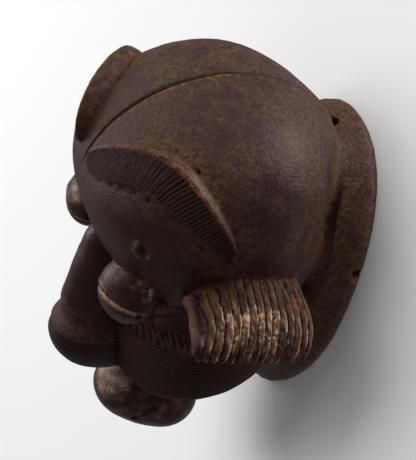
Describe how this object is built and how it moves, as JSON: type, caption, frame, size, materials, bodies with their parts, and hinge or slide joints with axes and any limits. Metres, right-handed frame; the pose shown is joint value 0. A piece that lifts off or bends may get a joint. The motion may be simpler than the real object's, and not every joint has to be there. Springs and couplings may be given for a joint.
{
  "type": "miniature carved face mask",
  "caption": "Small one-piece carved wooden face mask with domed head, crescent brows, bean eyes, long nose, ridged ears, grooved jaw and hollow back, lying on its rim.",
  "frame": {"origin": "centre of the bounding box, on the plane of the back rim that the mask lies on", "axes": "+X to the mask's own left, +Y to the top of its head, +Z out of its face"},
  "size_m": [0.131, 0.1438, 0.089],
  "materials": {
    "patinated_wood": "dark, hand-rubbed, semi-gloss patina with worn orange-brown edges and dust in the cuts"
  },
  "bodies": {
    "root": {"carved_mask": "patinated_wood"}
  },
  "joints": []
}
